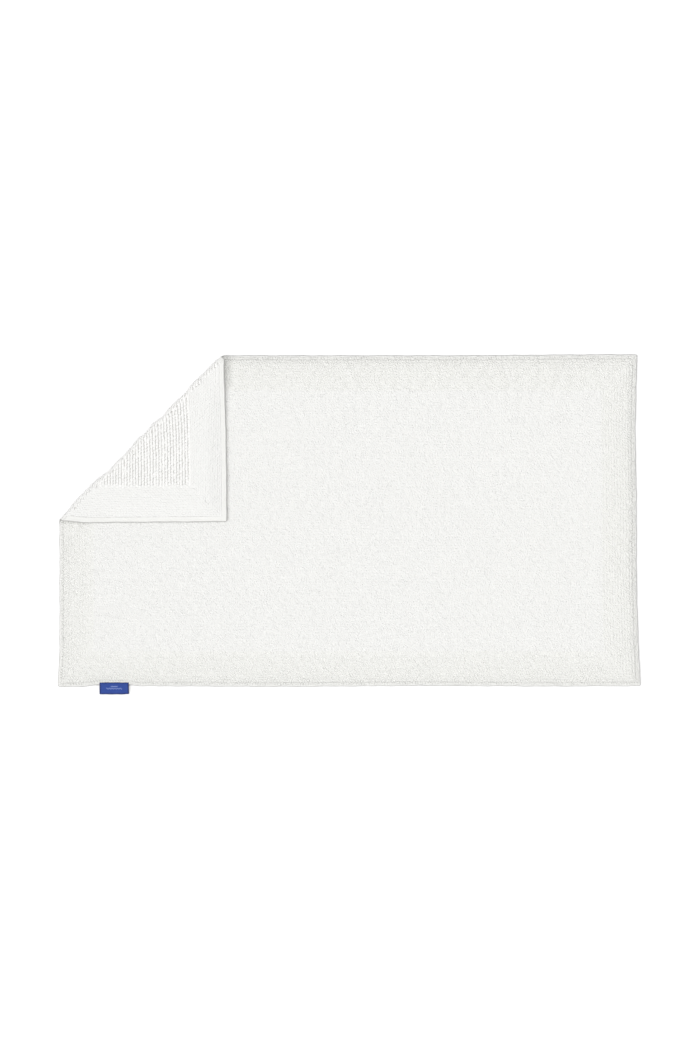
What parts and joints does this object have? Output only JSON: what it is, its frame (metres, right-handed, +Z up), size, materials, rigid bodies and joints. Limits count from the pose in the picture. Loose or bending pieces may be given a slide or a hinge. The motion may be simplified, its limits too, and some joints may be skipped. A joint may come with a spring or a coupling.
{
  "type": "bath mat",
  "caption": "Rectangular tufted cotton bath mat with a flat hem all round, a small folded ribbon label on the front edge, and one corner that folds over onto the pile.",
  "frame": {"origin": "centre of the mat's 1.000 by 0.573 m rectangle, on the floor, in the plane of its underside", "axes": "+Z up, out of the pile; +X along the long side, with the folded corner and the label at the -X end; +Y along the short side, away from the label"},
  "size_m": [1.0008, 0.586, 0.0203],
  "materials": {
    "field_pile": "cut cotton pile, off-white, dull",
    "border_pile": "cut cotton pile in rows along each side, off-white, dull",
    "back_stitches": "ribbed cotton yarn stitches, uncoated, dull",
    "backing_cloth": "plain woven cotton, dull",
    "hem_tape": "woven cotton tape, dull",
    "sewing_thread": "spun thread, faint sheen",
    "woven_label": "damask woven ribbon, royal blue, faint sheen"
  },
  "bodies": {
    "mat": {"backing_cloth": "backing_cloth", "bobbin_thread_back": "sewing_thread", "bobbin_thread_front": "sewing_thread", "bobbin_thread_left": "sewing_thread", "bobbin_thread_right": "sewing_thread", "border_back_stitches_back": "back_stitches", "border_back_stitches_front": "back_stitches", "border_back_stitches_left": "back_stitches", "border_back_stitches_right": "back_stitches", "border_pile_back": "border_pile", "border_pile_front": "border_pile", "border_pile_left": "border_pile", "border_pile_right": "border_pile", "crease_back_stitches": "back_stitches", "crease_backing_cloth": "backing_cloth", "crease_bobbin_thread_back": "sewing_thread", "crease_bobbin_thread_left": "sewing_thread", "crease_hem_tape_back": "hem_tape", "crease_hem_tape_left": "hem_tape", "crease_needle_thread_back": "sewing_thread", "crease_needle_thread_left": "sewing_thread", "field_back_stitches": "back_stitches", "field_pile": "field_pile", "hem_tape_back": "hem_tape", "hem_tape_front": "hem_tape", "hem_tape_left": "hem_tape", "hem_tape_right": "hem_tape", "needle_thread_back": "sewing_thread", "needle_thread_front": "sewing_thread", "needle_thread_left": "sewing_thread", "needle_thread_right": "sewing_thread", "woven_label": "woven_label"},
    "corner_flap": {"flap_backing_cloth": "backing_cloth", "flap_bobbin_thread_back": "sewing_thread", "flap_bobbin_thread_left": "sewing_thread", "flap_border_back_stitches_back": "back_stitches", "flap_border_back_stitches_left": "back_stitches", "flap_border_pile_back": "border_pile", "flap_border_pile_left": "border_pile", "flap_field_back_stitches": "back_stitches", "flap_field_pile": "field_pile", "flap_hem_tape_back": "hem_tape", "flap_hem_tape_left": "hem_tape", "flap_needle_thread_back": "sewing_thread", "flap_needle_thread_left": "sewing_thread"}
  },
  "joints": [
    {"name": "corner_fold", "type": "hinge", "parent": "mat", "child": "corner_flap", "pos_m": [-0.35675, 0.14325, 0.01015], "axis": [-0.7071, -0.7071, 0], "range_deg": [0, 179.9], "deforming": ["crease_back_stitches", "crease_backing_cloth", "crease_bobbin_thread_back", "crease_bobbin_thread_left", "crease_hem_tape_back", "crease_hem_tape_left", "crease_needle_thread_back", "crease_needle_thread_left"]}
  ]
}
